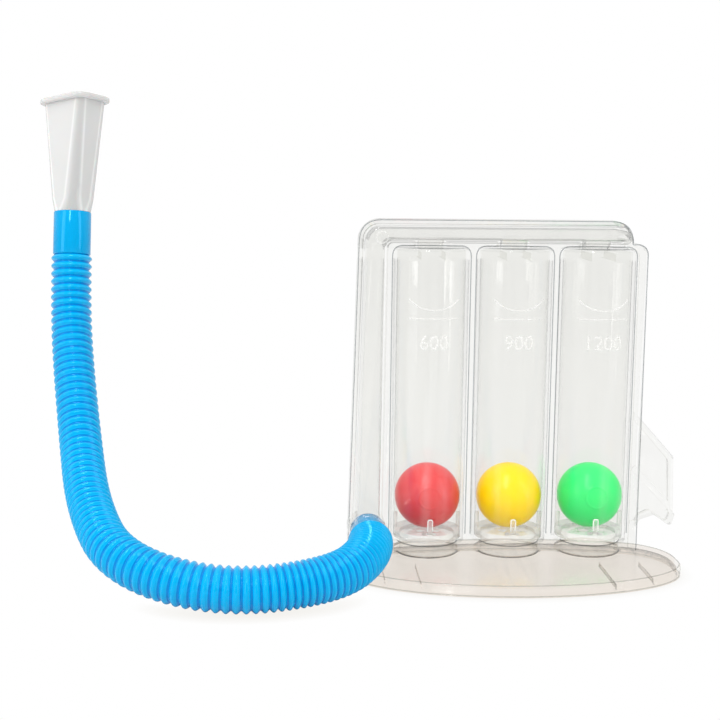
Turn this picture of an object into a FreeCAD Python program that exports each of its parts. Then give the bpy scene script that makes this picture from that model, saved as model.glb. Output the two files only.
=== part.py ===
import FreeCAD, Part
import math
import os

V = FreeCAD.Vector

# Three-ball incentive spirometer: a clear two-part body with three chambers side by side, an air duct
# over and beside them, an oval foot, a corrugated hose and a mouthpiece. Millimetres, Z up, the origin
# in the middle of the standing body on the table, the chambers' fronts towards -Y.

# Balls and chambers; heights are measured from the piece below
BALL_D = 25.4            # one-inch ball
BALL_CLEAR = 0.45        # radial gap between a ball and its chamber
REST_CLEAR = 0.3         # gap between a resting or stopped ball and what stops it
WALL = 1.25              # wall of the moulded shells
PITCH = 32.0             # from one chamber to the next
MIDDLE_X = -1.3          # axis of the middle chamber
SPLIT_Y = 15.3           # plane in which the two shells meet and the balls stand
COLLAR_R = 11.9          # collar under each chamber, standing on the foot
COLLAR_H = 5.1
CHAMBER_H = 113.8        # from the collar to the top of the chamber
TOP_ROUND = 1.5          # rounding of the chambers' upper edge
STOP_DEPTH = 3.0         # ribs that stop a ball under the chamber's roof
STOP_W = 1.2
STOP_SPACE = 9.0         # between the two stop ribs of a chamber

# Shell outline
RIGHT_MARGIN = 4.6       # flange beyond the last chamber
SHOULDER_RISE = 1.9      # right-hand shoulder above the chambers
SHOULDER_CORNER = 4.5
SHOULDER_ROOT = 0.3      # rounding where the header meets the shoulder
HEADER_H = 8.7           # header above the shoulder
HEADER_SHORT = 1.4       # how far the header ends before the last chamber's side
HEADER_CORNERS = (3.0, 2.0)
TOP_CORNER = 8.4
FLANGE = 1.5             # thickness of each shell's flange
RIM_W = 2.2              # raised rim round the flange
RIM_DEPTH = 3.0

# Air duct and header
DUCT_DEPTH = 10.0        # how far the duct stands out from the split plane
DUCT_GAP_TOP = 2.8       # from the duct to the first chamber, at the header and at the foot
DUCT_GAP_FOOT = 3.8
DUCT_W_TOP = 10.7        # width of the duct and its rim, at the header and at the foot
DUCT_W_FOOT = 13.0
INNER_CORNER = 2.0
DUCT_ROUND = 1.6
NECK_W = 12.0            # passages from the chambers up into the header
NECK_DEPTH = 8.0

# Hose port on the front of the duct
PORT_IN = 5.4            # from the duct's right-hand side at the foot to the port's middle
PORT_H = 10.5            # middle of the port above the foot
PORT_REACH = 24.0        # its mouth, measured from the split plane
PORT_WALL = 0.85
HOSE_END_D = 13.7        # plain lower end of the hose
HOSE_END_DEPTH = 15.0    # how far it goes into the port

# Hook plate on the rear shell: heights above the foot, reach beyond the flange
HOOK_REACH = 15.6
HOOK_TOP = 54.4
HOOK_BEND = 37.2
HOOK_TIP = 14.1
HOOK_LOW = 9.1
HOOK_MOUTH = 13.9
HOOK_ROOT = 12.0
HOOK_MOUTH_W = 8.4
HOOK_BEVEL = 1.6
HOOK_ROUNDS = (0.5, 3.0, 0.5, 0.8, 1.0, 1.5, 1.2, 0.5)     # its corners, from the top to the root
HOOK_T = 1.5
HOOK_RIM_W = 1.6
HOOK_RIM_DEPTH = 4.0
BRACE_TOP = 32.3
BRACE_FOOT = 16.3
BRACE_W = 1.6

# Foot
FOOT_H = 4.5
FOOT_LEFT_MARGIN = 0.8   # foot beyond the shells' outline, left and right
FOOT_RIGHT_MARGIN = 13.2
FOOT_FRONT = 31.0
FOOT_BACK = 31.0
FOOT_WAIST_Y = -1.0      # where the oval front meets the straight sides
FOOT_SIDE = 5.0          # length of the straight sides
FOOT_CORNER = 22.0       # rear corners
FOOT_PLATE = 1.5
FOOT_SKIRT = 1.6
FOOT_ROUND = 0.8
FOOT_RIBS = (-50.0, -37.0, 34.5, 50.0)
RIB_T = 1.2
RIB_H = 2.0
RING_H = 1.0             # locating rings on the foot
RING_W = 1.2
RING_CLEAR = 0.1

# Inlet plates
INLET_H = 2.9
INLET_PLATE = 1.2
INLET_HOLES = {"600": 3.0, "900": 3.6, "1200": 4.2}
HOLE_CIRCLE = 6.2
HOLES = 6
POST_W = 2.0             # posts that centre a resting ball
POST_T = 1.5
POST_H = 6.2

# Hose: points of its middle line, from the port to the mouthpiece. The first two points follow
# from the port.
HOSE_D = 16.8
HOSE_BORE = 12.6
HOSE_FIRST_RUN = 12.5
HOSE_BEND_SHARE = 0.45   # share of the shorter run beside it that each bend takes
HOSE_POINTS = (V(-70.5, -40.2, 10.2), V(-110.9, -48.4, 7.8), V(-147.7, -34.3, 14.6),
               V(-162.5, 1.3, 25.8), V(-170.6, 38.3, 45.6), V(-176.6, 62.8, 74.3),
               V(-178.7, 74.4, 96.4), V(-178.5, 77.9, 114.9))
CUFF_D = 15.5            # plain upper end of the hose
CUFF_LENGTH = 18.0

# Mouthpiece: (height, length, width, corner radius) of its sections above the cuff
MOUTH_BASE_D = 15.0
MOUTH_SHOULDER = (5.0, 16.2, 14.4, 5.5)
MOUTH_TOP = (46.0, 25.4, 14.8, 3.6)
MOUTH_WALL = 1.4
MOUTH_LIP = 2.1
MOUTH_LIP_H = 2.2
MOUTH_LIP_ROUND = 0.73   # rounding of the lip's edges
MOUTH_FLAT = 0.02        # keeps a flat between the corners of a round section
SPIGOT_LENGTH = 12.0
MOUTH_LONG_SIDE = V(-0.727, 0.687, 0)    # direction of the mouth's long side

# What follows from the sizes above
BORE_R = BALL_D / 2 + BALL_CLEAR
CHAMBER_R = BORE_R + WALL
STEP_Z = FOOT_H + COLLAR_H
LEDGE_Z = STEP_Z + WALL
SEAT_Z = LEDGE_Z + INLET_H
CHAMBER_TOP = STEP_Z + CHAMBER_H
ROOF_Z = CHAMBER_TOP - WALL
SHOULDER_Z = CHAMBER_TOP + SHOULDER_RISE
TOP_Z = SHOULDER_Z + HEADER_H
CHAMBER_X = {"600": MIDDLE_X - PITCH, "900": MIDDLE_X, "1200": MIDDLE_X + PITCH}
FIRST_SIDE = CHAMBER_X["600"] - CHAMBER_R
LAST_SIDE = CHAMBER_X["1200"] + CHAMBER_R
RIGHT_X = LAST_SIDE + RIGHT_MARGIN
HEADER_END_X = LAST_SIDE - HEADER_SHORT
DUCT_TOP_X = FIRST_SIDE - DUCT_GAP_TOP
DUCT_FOOT_X = FIRST_SIDE - DUCT_GAP_FOOT
LEFT_TOP_X = DUCT_TOP_X - DUCT_W_TOP
LEFT_FOOT_X = DUCT_FOOT_X - DUCT_W_FOOT
FOOT_HALF = (RIGHT_X + FOOT_RIGHT_MARGIN - LEFT_FOOT_X + FOOT_LEFT_MARGIN) / 2
FOOT_X = RIGHT_X + FOOT_RIGHT_MARGIN - FOOT_HALF
BALL_REST_Z = SEAT_Z + REST_CLEAR + BALL_D / 2
BALL_STOP_Z = (ROOF_Z - STOP_DEPTH - REST_CLEAR
               - math.sqrt((BALL_D / 2) ** 2 - (STOP_SPACE / 2 - STOP_W / 2) ** 2))
PORT_MOUTH = V(DUCT_FOOT_X - PORT_IN, SPLIT_Y - PORT_REACH, FOOT_H + PORT_H)
PORT_R = HOSE_END_D / 2 + PORT_WALL


def outline(corners, y):
    """Closed wire in the plane y through corners (x, z, radius), each rounded by its radius."""
    edges, ends = [], []
    for i, (x, z, radius) in enumerate(corners):
        here = V(x, y, z)
        before = V(corners[i - 1][0], y, corners[i - 1][1]) - here
        after = V(corners[(i + 1) % len(corners)][0], y, corners[(i + 1) % len(corners)][1]) - here
        before.normalize()
        after.normalize()
        half = before.getAngle(after) / 2
        back = radius / math.tan(half)
        start, end = here + before * back, here + after * back
        middle = before + after
        middle.normalize()
        mid = here + middle * (radius / math.sin(half) - radius)
        ends.append((start, mid, end, radius))
    for i, (start, mid, end, radius) in enumerate(ends):
        if radius > 0:
            edges.append(Part.Arc(start, mid, end).toShape())
        following = ends[(i + 1) % len(ends)][0]
        if end.distanceToPoint(following) > 1e-6:
            edges.append(Part.LineSegment(end, following).toShape())
    return Part.Wire(edges)


def slab(corners, y_from, y_to):
    """Plate of an outline, between two planes across Y."""
    return Part.Face(outline(corners, y_from)).extrude(V(0, y_to - y_from, 0))


def upright(x, radius, z_from, z_to):
    """Upright cylinder on a chamber's axis."""
    return Part.makeCylinder(radius, z_to - z_from, V(x, SPLIT_Y, z_from))


def left_edge(z):
    """Left edge of the body, which leans outwards towards the foot."""
    return LEFT_FOOT_X + (LEFT_TOP_X - LEFT_FOOT_X) * (z - FOOT_H) / (TOP_Z - FOOT_H)


def body_corners(inset):
    """Outline of both shells, moved inwards by inset."""
    return [(left_edge(FOOT_H) + inset, FOOT_H, 0),
            (left_edge(TOP_Z) + inset, TOP_Z - inset, TOP_CORNER - inset),
            (HEADER_END_X - inset, TOP_Z - inset, TOP_CORNER - inset),
            (HEADER_END_X - inset, SHOULDER_Z - inset, SHOULDER_ROOT),
            (RIGHT_X - inset, SHOULDER_Z - inset, SHOULDER_CORNER - inset / 2),
            (RIGHT_X - inset, FOOT_H, 0)]


def duct_corners(inset):
    """L-shaped outline of duct and header, moved inwards by inset."""
    edge = RIM_W + inset
    return [(left_edge(FOOT_H) + edge, FOOT_H + inset, 0),
            (left_edge(TOP_Z) + edge, TOP_Z - edge, TOP_CORNER - edge),
            (HEADER_END_X - edge, TOP_Z - edge, HEADER_CORNERS[0] - inset),
            (HEADER_END_X - edge, SHOULDER_Z + inset, HEADER_CORNERS[1] - inset),
            (DUCT_TOP_X - inset, SHOULDER_Z + inset, INNER_CORNER + inset),
            (DUCT_FOOT_X - inset, FOOT_H + inset, 0)]


def duct_bulge(side):
    """Solid of the duct and header on one side of the split plane, its outer edge rounded."""
    bulge = slab(duct_corners(0), SPLIT_Y, SPLIT_Y + side * DUCT_DEPTH)
    outer = [e for e in bulge.Edges
             if abs(e.BoundBox.YMin - e.BoundBox.YMax) < 1e-6
             and abs(e.BoundBox.YMin - (SPLIT_Y + side * DUCT_DEPTH)) < 1e-6
             and e.BoundBox.ZMax > FOOT_H + 1]
    return bulge.makeFillet(DUCT_ROUND, outer)


def chamber_outside(x):
    """Chamber with a rounded upper edge, and the collar that it stands on."""
    chamber = upright(x, CHAMBER_R, STEP_Z, CHAMBER_TOP)
    rim = [e for e in chamber.Edges if e.BoundBox.ZMin > CHAMBER_TOP - 1e-6]
    return chamber.makeFillet(TOP_ROUND, rim).fuse(upright(x, COLLAR_R, FOOT_H, LEDGE_Z))


def chamber_inside(x):
    """Bore of a chamber and of its collar, the ledge for the inlet plate left between them."""
    return upright(x, BORE_R, LEDGE_Z, ROOF_Z).fuse(upright(x, COLLAR_R - WALL, FOOT_H, LEDGE_Z))


def half_space(side):
    """Everything on one side of the split plane."""
    reach = 2 * (TOP_Z + FOOT_HALF)
    low = SPLIT_Y if side > 0 else SPLIT_Y - reach
    return Part.makeBox(reach, reach, reach, V(FOOT_X - reach / 2, low, -reach / 2))


def stop_ribs(x):
    """Two ribs under a chamber's roof that stop the ball and leave the way out open."""
    ribs = []
    for side in (-1, 1):
        left = x + side * STOP_SPACE / 2 - STOP_W / 2
        ribs.append(Part.makeBox(STOP_W, 2 * CHAMBER_R, STOP_DEPTH + WALL / 2,
                                 V(left, SPLIT_Y - CHAMBER_R, ROOF_Z - STOP_DEPTH)))
    return ribs[0].fuse(ribs[1]).common(upright(x, BORE_R + WALL / 2, ROOF_Z - STOP_DEPTH, CHAMBER_TOP))


def shell(side, extra_outside, extra_inside):
    """One moulded half of the body: flange, rim, duct and three half chambers."""
    flange = slab(body_corners(0), SPLIT_Y, SPLIT_Y + side * FLANGE)
    rim = slab(body_corners(0), SPLIT_Y, SPLIT_Y + side * RIM_DEPTH)
    rim = rim.cut(slab(body_corners(RIM_W), SPLIT_Y, SPLIT_Y + side * RIM_DEPTH))
    outside = flange.fuse([rim, duct_bulge(side)]
                          + [chamber_outside(x) for x in CHAMBER_X.values()]
                          + extra_outside)
    duct_bore = slab(duct_corners(WALL), SPLIT_Y, SPLIT_Y + side * (DUCT_DEPTH - WALL))
    inside = duct_bore.fuse([chamber_inside(x) for x in CHAMBER_X.values()] + extra_inside)
    half = outside.cut(inside).fuse([stop_ribs(x) for x in CHAMBER_X.values()])
    return half.common(half_space(side)).removeSplitter()


def front_shell():
    """Front half of the body, with the hose port at the foot of the duct."""
    stub = Part.makeCylinder(PORT_R, PORT_REACH, PORT_MOUTH, V(0, 1, 0))
    bore = Part.makeCylinder(HOSE_END_D / 2, PORT_REACH, PORT_MOUTH, V(0, 1, 0))
    return shell(-1, [stub], [bore])


def hook_corners(inset):
    """Outline of the hook plate that stands out at the right, moved inwards by inset."""
    right = RIGHT_X + HOOK_REACH - inset
    top, low = FOOT_H + HOOK_TOP - 2 * inset, FOOT_H + inset
    places = [(RIGHT_X, top - HOOK_BEVEL),
              (right - HOOK_BEVEL, FOOT_H + HOOK_BEND - inset),
              (right - HOOK_BEVEL / 2, FOOT_H + HOOK_TIP + HOOK_BEVEL / 2),
              (right, FOOT_H + HOOK_TIP),
              (right - HOOK_BEVEL, low + HOOK_LOW),
              (right - HOOK_MOUTH_W, low + HOOK_MOUTH),
              (RIGHT_X + HOOK_BEVEL, low + HOOK_ROOT),
              (RIGHT_X, low + HOOK_LOW)]
    rounded = [(x, z, radius) for (x, z), radius in zip(places, HOOK_ROUNDS)]
    return [(RIGHT_X - FLANGE, top, 0)] + rounded + [(RIGHT_X - FLANGE, low + HOOK_LOW, 0)]


def brace_corners():
    """Outline of the slanting rib across the hook plate, from the flange down to the tip."""
    left, right = RIGHT_X - RIM_W / 2, RIGHT_X + HOOK_REACH - HOOK_RIM_W
    top, low = FOOT_H + BRACE_TOP, FOOT_H + BRACE_FOOT
    return [(left - BRACE_W / 2, top - BRACE_W / 2, 0), (left + BRACE_W / 2, top + BRACE_W / 2, 0),
            (right + BRACE_W / 2, low + BRACE_W / 2, 0), (right - BRACE_W / 2, low - BRACE_W / 2, 0)]


def rear_shell():
    """Rear half of the body, with the hook plate, the passages to the header and the air windows."""
    hook = slab(hook_corners(0), SPLIT_Y, SPLIT_Y + HOOK_T)
    hook_rim = slab(hook_corners(0), SPLIT_Y, SPLIT_Y + HOOK_RIM_DEPTH)
    hook_rim = hook_rim.cut(slab(hook_corners(HOOK_RIM_W), SPLIT_Y, SPLIT_Y + HOOK_RIM_DEPTH))
    brace = slab(brace_corners(), SPLIT_Y, SPLIT_Y + HOOK_RIM_DEPTH).common(
        slab(hook_corners(0), SPLIT_Y, SPLIT_Y + HOOK_RIM_DEPTH))
    low, high = CHAMBER_TOP - 1.5 * WALL, SHOULDER_Z + 1.5 * WALL
    necks, passages, windows = [], [], []
    for x in CHAMBER_X.values():
        necks.append(Part.makeBox(NECK_W, NECK_DEPTH, high - low, V(x - NECK_W / 2, SPLIT_Y, low)))
        passages.append(Part.makeBox(NECK_W - 2 * WALL, NECK_DEPTH - WALL, high - low,
                                     V(x - NECK_W / 2 + WALL, SPLIT_Y, low)))
        windows.append(Part.makeBox(COLLAR_R, CHAMBER_R, COLLAR_H - 2 * WALL,
                                    V(x - COLLAR_R / 2, SPLIT_Y + COLLAR_R / 2, FOOT_H + WALL)))
    return shell(1, [hook, hook_rim, brace] + necks, passages + windows)


def foot_outline(z, inset=0.0):
    """Plan of the foot: half an ellipse in front, short straight sides, a flatter back."""
    a, b = FOOT_HALF - inset, FOOT_WAIST_Y + FOOT_FRONT - inset
    rear = FOOT_WAIST_Y + FOOT_SIDE
    back, r = FOOT_BACK - rear - inset, FOOT_CORNER - inset
    low = ((a - r) ** 2 - (back - r) ** 2) / (2 * (back - r))
    sine, cosine = (a - r) / (back + low - r), low / (back + low - r)
    waist, centre = V(FOOT_X, FOOT_WAIST_Y, z), V(FOOT_X, rear, z)
    joint = {s: centre + V(s * (a - r + r * sine), r * cosine, 0) for s in (-1, 1)}
    half = math.atan2(cosine, sine) / 2
    edges = [Part.ArcOfEllipse(Part.Ellipse(waist, a, b), math.pi, 2 * math.pi).toShape()]
    for s in (1, -1):
        side_end = centre + V(s * a, 0, 0)
        on_corner = centre + V(s * (a - r + r * math.cos(half)), r * math.sin(half), 0)
        edges.append(Part.LineSegment(waist + V(s * a, 0, 0), side_end).toShape())
        edges.append(Part.Arc(side_end, on_corner, joint[s]).toShape())
    edges.append(Part.Arc(joint[1], centre + V(0, back, 0), joint[-1]).toShape())
    return Part.Wire(Part.__sortEdges__(edges))


def foot():
    """Hollow oval foot: a plate with a skirt, ribs under it and rings that locate the collars."""
    top = Part.Face(foot_outline(FOOT_H))
    block = top.extrude(V(0, 0, -FOOT_H))
    upper = [e for e in block.Edges if e.BoundBox.ZMin > FOOT_H - 1e-6]
    block = block.makeFillet(FOOT_ROUND, upper)
    under = Part.Face(foot_outline(0, FOOT_SKIRT)).extrude(V(0, 0, FOOT_H - FOOT_PLATE))
    ribs = [Part.makeBox(RIB_T, SPLIT_Y - COLLAR_R + FOOT_FRONT, RIB_H + FOOT_PLATE / 2,
                         V(FOOT_X + x - RIB_T / 2, -FOOT_FRONT, FOOT_H - FOOT_PLATE - RIB_H))
            for x in FOOT_RIBS]
    ribs = ribs[0].fuse(ribs[1:]).common(block)
    inner = COLLAR_R + RING_CLEAR
    rings = [upright(x, inner + RING_W, FOOT_H - FOOT_PLATE / 2, FOOT_H + RING_H)
             .cut(upright(x, inner, FOOT_H, FOOT_H + RING_H)) for x in CHAMBER_X.values()]
    gap = RIM_DEPTH + 2 * RING_CLEAR
    gap = Part.makeBox(2 * FOOT_HALF, 2 * gap, RING_H, V(FOOT_X - FOOT_HALF, SPLIT_Y - gap, FOOT_H))
    rings = rings[0].fuse(rings[1:]).cut(gap)
    return block.cut(under).fuse([ribs, rings]).removeSplitter()


def inlet_plate(rating):
    """Cap pressed into the foot of a chamber: a plate with a ring of air holes and four posts."""
    x = CHAMBER_X[rating]
    cap = upright(x, BORE_R, LEDGE_Z, SEAT_Z)
    hollow = upright(x, COLLAR_R - WALL, LEDGE_Z, SEAT_Z - INLET_PLATE)
    post = Part.makeBox(POST_W, POST_T, POST_H + INLET_PLATE / 2,
                        V(x - POST_W / 2, SPLIT_Y - BORE_R, SEAT_Z - INLET_PLATE / 2))
    axis = V(x, SPLIT_Y, 0)
    posts = [post.copy() for _ in range(4)]
    for k, turned in enumerate(posts):
        turned.rotate(axis, V(0, 0, 1), 90 * k)
    posts = posts[0].fuse(posts[1:]).common(upright(x, BORE_R, LEDGE_Z, SEAT_Z + POST_H))
    holes = []
    for k in range(HOLES):
        hole = Part.makeCylinder(INLET_HOLES[rating] / 2, INLET_H, V(x + HOLE_CIRCLE, SPLIT_Y, LEDGE_Z))
        hole.rotate(axis, V(0, 0, 1), 360.0 * k / HOLES)
        holes.append(hole)
    return cap.fuse(posts).cut(hollow.fuse(holes)).removeSplitter()


def ball(rating):
    """Ball at rest just above its inlet plate."""
    return Part.makeSphere(BALL_D / 2, V(CHAMBER_X[rating], SPLIT_Y, BALL_REST_Z))


def hose_route():
    """Points of the hose's middle line, the first two square to the port's mouth."""
    return [PORT_MOUTH, PORT_MOUTH + V(0, -HOSE_FIRST_RUN, 0)] + list(HOSE_POINTS)


def hose_path():
    """Middle line of the hose: straight runs joined by tangent arcs, and the arcs' radii."""
    points = hose_route()
    edges, radii, last = [], [], points[0]
    for before, here, after in zip(points, points[1:], points[2:]):
        back, on = before - here, after - here
        short = min(back.Length, on.Length)
        back.normalize()
        on.normalize()
        half = back.getAngle(on) / 2
        tangent = HOSE_BEND_SHARE * short
        radius = tangent * math.tan(half)
        middle = back + on
        middle.normalize()
        start, end = here + back * tangent, here + on * tangent
        mid = here + middle * (radius / math.sin(half) - radius)
        edges.append(Part.LineSegment(last, start).toShape())
        edges.append(Part.Arc(start, mid, end).toShape())
        radii.append(radius)
        last = end
    edges.append(Part.LineSegment(last, points[-1]).toShape())
    return Part.Wire(edges), radii


def hose():
    """Flexible part of the hose as a plain tube from the port to the upper end."""
    path, radii = hose_path()
    start = hose_route()[0]
    tubes = []
    for diameter in (HOSE_D, HOSE_BORE):
        section = Part.Wire(Part.makeCircle(diameter / 2, start, V(0, -1, 0)))
        tubes.append(path.makePipeShell([section], True, False))
    tube = tubes[0].cut(tubes[1])
    expected = math.pi / 4 * (HOSE_D ** 2 - HOSE_BORE ** 2) * path.Length
    print("hose length %.1f, arc radii %s, volume over section times length %.4f, lowest point %.2f"
          % (path.Length, ["%.0f" % r for r in radii], tube.Volume / expected, tube.BoundBox.ZMin))
    return tube


def hose_end():
    """Plain lower end of the hose, inside the port."""
    outer = Part.makeCylinder(HOSE_END_D / 2, HOSE_END_DEPTH, PORT_MOUTH, V(0, 1, 0))
    return outer.cut(Part.makeCylinder(HOSE_END_D / 2 - WALL, HOSE_END_DEPTH, PORT_MOUTH, V(0, 1, 0)))


def upper_frame():
    """Placement at the hose's upper end: Z along the hose, X along the mouth's long side."""
    points = hose_route()
    axis = points[-1] - points[-2]
    axis.normalize()
    turn = FreeCAD.Rotation(MOUTH_LONG_SIDE, V(0, 0, 0), axis, "ZXY")
    return FreeCAD.Placement(points[-1], turn)


def cuff():
    """Plain upper end of the hose, which takes the mouthpiece's spigot."""
    tube = Part.makeCylinder(CUFF_D / 2, CUFF_LENGTH).cut(Part.makeCylinder(HOSE_BORE / 2, CUFF_LENGTH))
    tube.Placement = upper_frame()
    return tube


def mouth_section(z, length, width, radius):
    """Rounded rectangle across the mouthpiece's axis."""
    x, y, r = length / 2 - radius, width / 2 - radius, radius
    c = r * math.cos(math.pi / 4)
    edges = []
    for sx, sy in ((1, 1), (-1, 1), (-1, -1), (1, -1)):
        a = V(sx * (x + r), sy * y, z)
        b = V(sx * x, sy * (y + r), z)
        m = V(sx * (x + c), sy * (y + c), z)
        start, end = (a, b) if sx * sy > 0 else (b, a)
        edges.append((start, m, end))
    wire = []
    for i, (start, m, end) in enumerate(edges):
        wire.append(Part.Arc(start, m, end).toShape())
        wire.append(Part.LineSegment(end, edges[(i + 1) % 4][0]).toShape())
    return Part.Wire(wire)


def mouth_form(inset, top):
    """Tapering body of the mouthpiece from its round foot to its oblong mouth."""
    round_foot = MOUTH_BASE_D - 2 * inset
    sections = [mouth_section(0, round_foot, round_foot, round_foot / 2 - MOUTH_FLAT)]
    for z, length, width, radius in (MOUTH_SHOULDER, (top,) + MOUTH_TOP[1:]):
        sections.append(mouth_section(z, length - 2 * inset, width - 2 * inset, radius - inset))
    return Part.makeLoft(sections, True, True)


def mouthpiece():
    """Mouthpiece with a lip round its mouth and a spigot that seats in the upper end of the hose."""
    lip_low, length, width, radius = MOUTH_TOP
    lip_high = lip_low + MOUTH_LIP_H
    lip = Part.Face(mouth_section(lip_low, length + 2 * MOUTH_LIP, width + 2 * MOUTH_LIP,
                                  radius + MOUTH_LIP)).extrude(V(0, 0, MOUTH_LIP_H))
    rims = [e for e in lip.Edges if abs(e.BoundBox.ZMax - e.BoundBox.ZMin) < 1e-6]
    lip = lip.makeFillet(MOUTH_LIP_ROUND, rims)
    spigot = Part.makeCylinder(HOSE_BORE / 2, SPIGOT_LENGTH + MOUTH_WALL, V(0, 0, -SPIGOT_LENGTH))
    outside = mouth_form(0, lip_high - MOUTH_LIP_H / 2).fuse([lip, spigot])
    bore = Part.makeCylinder(HOSE_BORE / 2 - MOUTH_WALL, SPIGOT_LENGTH + MOUTH_WALL,
                             V(0, 0, -SPIGOT_LENGTH))
    inside = mouth_form(MOUTH_WALL, lip_high).fuse(bore)
    piece = outside.cut(inside)
    frame = upper_frame()
    piece.Placement = FreeCAD.Placement(frame.multVec(V(0, 0, CUFF_LENGTH)), frame.Rotation)
    return piece


PARTS = {
    "front_shell": front_shell(),
    "rear_shell": rear_shell(),
    "foot": foot(),
    "inlet_600": inlet_plate("600"),
    "inlet_900": inlet_plate("900"),
    "inlet_1200": inlet_plate("1200"),
    "ball_600": ball("600"),
    "ball_900": ball("900"),
    "ball_1200": ball("1200"),
    "hose": hose(),
    "hose_end_lower": hose_end(),
    "hose_end_upper": cuff(),
    "mouthpiece": mouthpiece(),
}

os.makedirs("parts", exist_ok=True)
for name, shape in PARTS.items():
    shape.exportStep("parts/%s.step" % name)
    box = shape.BoundBox
    print("%-15s solids %d valid %s volume %.0f box %.1f %.1f %.1f to %.1f %.1f %.1f"
          % (name, len(shape.Solids), shape.isValid(), shape.Volume,
             box.XMin, box.YMin, box.ZMin, box.XMax, box.YMax, box.ZMax))
print("ball travel %.2f" % (BALL_STOP_Z - BALL_REST_Z))
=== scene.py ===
import math

import bmesh
import bpy
import numpy as np
from mathutils import Matrix, Vector


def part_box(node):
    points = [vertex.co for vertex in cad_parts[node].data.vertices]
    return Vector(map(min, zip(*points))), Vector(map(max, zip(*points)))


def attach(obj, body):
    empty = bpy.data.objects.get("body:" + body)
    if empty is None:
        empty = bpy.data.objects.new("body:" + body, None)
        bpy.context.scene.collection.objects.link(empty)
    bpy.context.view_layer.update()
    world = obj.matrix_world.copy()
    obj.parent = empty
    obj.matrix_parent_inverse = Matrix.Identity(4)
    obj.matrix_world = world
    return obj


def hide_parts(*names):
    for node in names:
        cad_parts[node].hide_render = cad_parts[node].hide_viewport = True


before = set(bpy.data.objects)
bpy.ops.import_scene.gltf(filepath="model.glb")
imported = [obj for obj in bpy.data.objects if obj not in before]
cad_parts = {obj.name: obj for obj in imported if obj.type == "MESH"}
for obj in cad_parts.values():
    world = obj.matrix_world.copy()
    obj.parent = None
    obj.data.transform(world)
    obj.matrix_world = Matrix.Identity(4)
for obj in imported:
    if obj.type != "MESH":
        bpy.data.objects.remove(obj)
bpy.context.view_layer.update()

# A three-ball incentive spirometer on its oval foot. A patient draws breath through the blue hose,
# and the flow lifts the balls one after another in their clear chambers. Sizes are in metres.
MM = 0.001


# The room: a white table, a white surround and large soft lights, with the camera a little to the
# left of the chambers and just above them. The surround is darker behind the camera, which gives
# the clear walls their grey edges.
LENS = 67.5
CAMERA_PLACE = (-0.08946, -0.4962, 0.1560)
CAMERA_TURN, CAMERA_TILT, CAMERA_ROLL = math.radians(-3.28), math.radians(8.45), math.radians(0.65)
LIGHT_BOUNCES = 24
SURROUND_LIGHT = 0.92
WHITE = "#FFFFFF"
TABLE_RADIUS, TABLE_Z = 6.0, -0.2 * MM
TABLE_PAINT = "#E4E4E4"
CONTACT_SHADE, CONTACT_REACH = "#F2F0EC", 6 * MM


def linear(colour):
    """An sRGB hex colour as the linear red, green, blue and alpha that the shaders take."""
    parts = [int(colour[i:i + 2], 16) / 255 for i in (1, 3, 5)]
    return [p / 12.92 if p <= 0.04045 else ((p + 0.055) / 1.055) ** 2.4 for p in parts] + [1.0]


def node(tree, kind, entries=(), **values):
    """One shader node. Values set its properties or its named inputs. An entry is an input's name
    or number with what it takes: another node's output, which is linked to it, or a value."""
    made = tree.nodes.new(kind)
    for name, value in values.items():
        if hasattr(made, name):
            setattr(made, name, value)
        else:
            made.inputs[name.replace("_", " ")].default_value = value
    for entry, source in entries:
        if isinstance(source, bpy.types.NodeSocket):
            tree.links.new(source, made.inputs[entry])
        else:
            made.inputs[entry].default_value = source
    return made


def material(name):
    """An empty node material and its tree."""
    made = bpy.data.materials.new(name)
    made.use_nodes = True
    made.node_tree.nodes.clear()
    return made, made.node_tree


scene = bpy.context.scene
scene.view_settings.view_transform = "Standard"
scene.cycles.max_bounces = LIGHT_BOUNCES
scene.cycles.transmission_bounces = LIGHT_BOUNCES
scene.cycles.transparent_max_bounces = LIGHT_BOUNCES

camera = bpy.data.objects.new("camera", bpy.data.cameras.new("camera"))
camera.data.lens = LENS
camera.data.clip_start = 0.01
camera.matrix_world = (Matrix.Translation(CAMERA_PLACE) @ Matrix.Rotation(CAMERA_TURN, 4, "Z")
                       @ Matrix.Rotation(math.pi / 2 - CAMERA_TILT, 4, "X")
                       @ Matrix.Rotation(CAMERA_ROLL, 4, "Z"))
scene.collection.objects.link(camera)
scene.camera = camera

world = bpy.data.worlds.new("white_room")
world.use_nodes = True
scene.world = world
room = world.node_tree
room.nodes.clear()
place = node(room, "ShaderNodeTexCoord")
axes = node(room, "ShaderNodeSeparateXYZ", [(0, place.outputs["Generated"])])
depth = node(room, "ShaderNodeMapRange", [("Value", axes.outputs["Y"])], From_Min=-0.9,
             From_Max=0.35, To_Min=0.38, To_Max=0.9, interpolation_type="SMOOTHSTEP")
height = node(room, "ShaderNodeMapRange", [("Value", axes.outputs["Z"])], From_Min=-0.2,
              From_Max=0.9, To_Min=0.85, To_Max=1.05)
walls = node(room, "ShaderNodeMath", [(0, depth.outputs[0]), (1, height.outputs[0])],
             operation="MULTIPLY")
ray = node(room, "ShaderNodeLightPath")
mirrored = node(room, "ShaderNodeMix", [("Factor", ray.outputs["Is Glossy Ray"]),
                                        (2, SURROUND_LIGHT), (3, walls.outputs[0])],
                data_type="FLOAT")
lit = node(room, "ShaderNodeMix", [("Factor", ray.outputs["Is Camera Ray"]),
                                   (2, mirrored.outputs[0]), (3, 1.0)], data_type="FLOAT")
surround = node(room, "ShaderNodeBackground", [("Strength", lit.outputs[0])],
                Color=linear(WHITE))
node(room, "ShaderNodeOutputWorld", [("Surface", surround.outputs[0])])


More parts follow.
